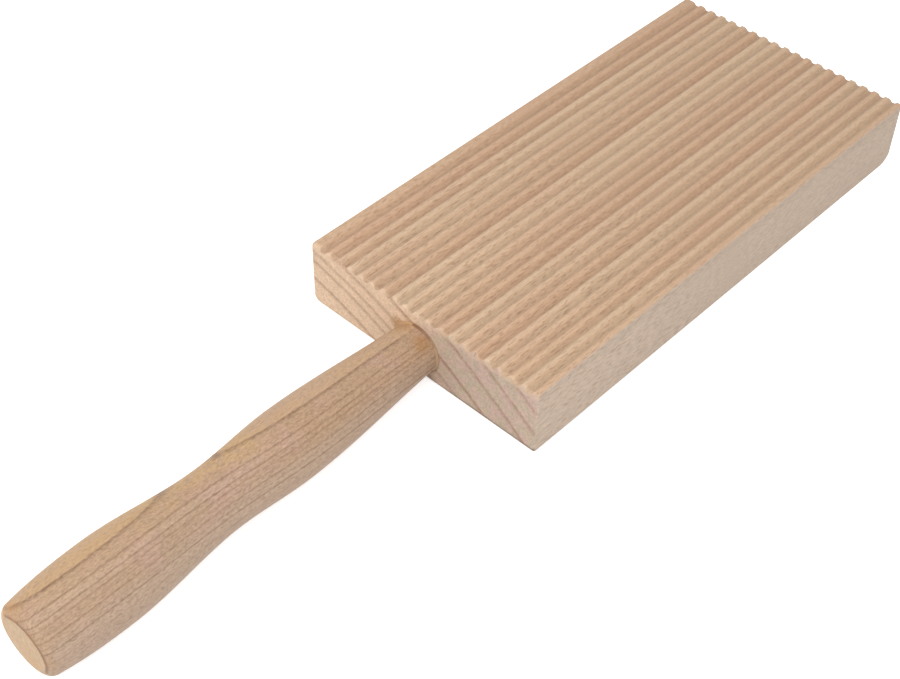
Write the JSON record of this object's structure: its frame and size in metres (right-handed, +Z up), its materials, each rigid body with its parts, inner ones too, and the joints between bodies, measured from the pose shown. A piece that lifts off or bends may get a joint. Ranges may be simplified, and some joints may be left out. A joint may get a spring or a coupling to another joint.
{
  "type": "gnocchi board",
  "caption": "Ribbed wooden board for rolling small dumplings, with a turned handle glued into one end.",
  "frame": {"origin": "centre of the board's flat underside", "axes": "+X runs along the board, away from the handle; +Y runs across the board towards its plain land; +Z points up out of the ribbed face"},
  "size_m": [0.2346, 0.065, 0.0183],
  "materials": {
    "board_wood": "bare sanded pale hardwood, straight grain along the length, faint pink and tan growth bands, short fine flecks",
    "handle_wood": "bare turned hardwood, browner than the board, fine dark grain lines along the length",
    "wood_glue": "cured amber wood glue, semi-matte"
  },
  "bodies": {
    "root": {"ribbed_board": "board_wood", "handle": "handle_wood", "glue_joint": "wood_glue"}
  },
  "joints": []
}
